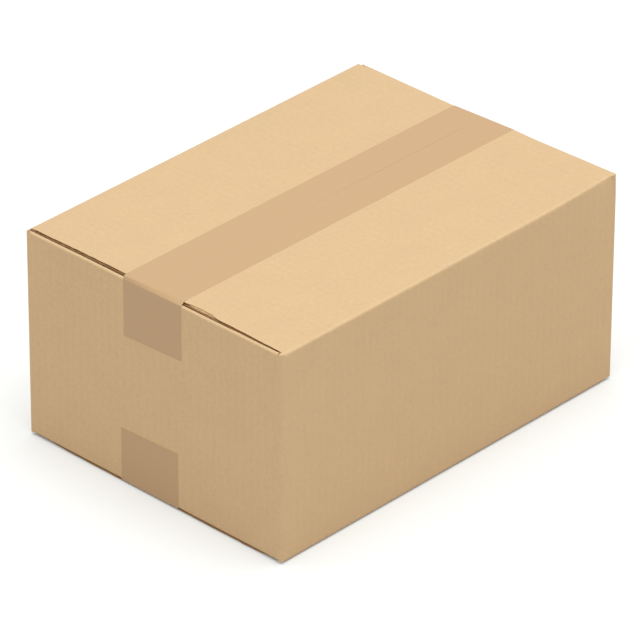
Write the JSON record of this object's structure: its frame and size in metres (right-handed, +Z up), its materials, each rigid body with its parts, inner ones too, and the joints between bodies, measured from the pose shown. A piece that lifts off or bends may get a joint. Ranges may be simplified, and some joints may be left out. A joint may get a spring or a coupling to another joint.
{
  "type": "closed cardboard box",
  "caption": "Rectangular slotted carton of corrugated board, folded from one sheet, with its flaps closed and taped along the top and bottom seams.",
  "frame": {"origin": "middle of the underside, on the surface that the box rests on", "axes": "+X along the box's length and its taped seams, +Y across it, +Z up"},
  "size_m": [0.305, 0.2198, 0.1496],
  "materials": {
    "kraft_board": "plain brown kraft liner, matte",
    "buff_tape": "smooth buff packing tape, low sheen"
  },
  "bodies": {
    "root": {"carton": "kraft_board", "top_tape": "buff_tape", "bottom_tape": "buff_tape"}
  },
  "joints": []
}
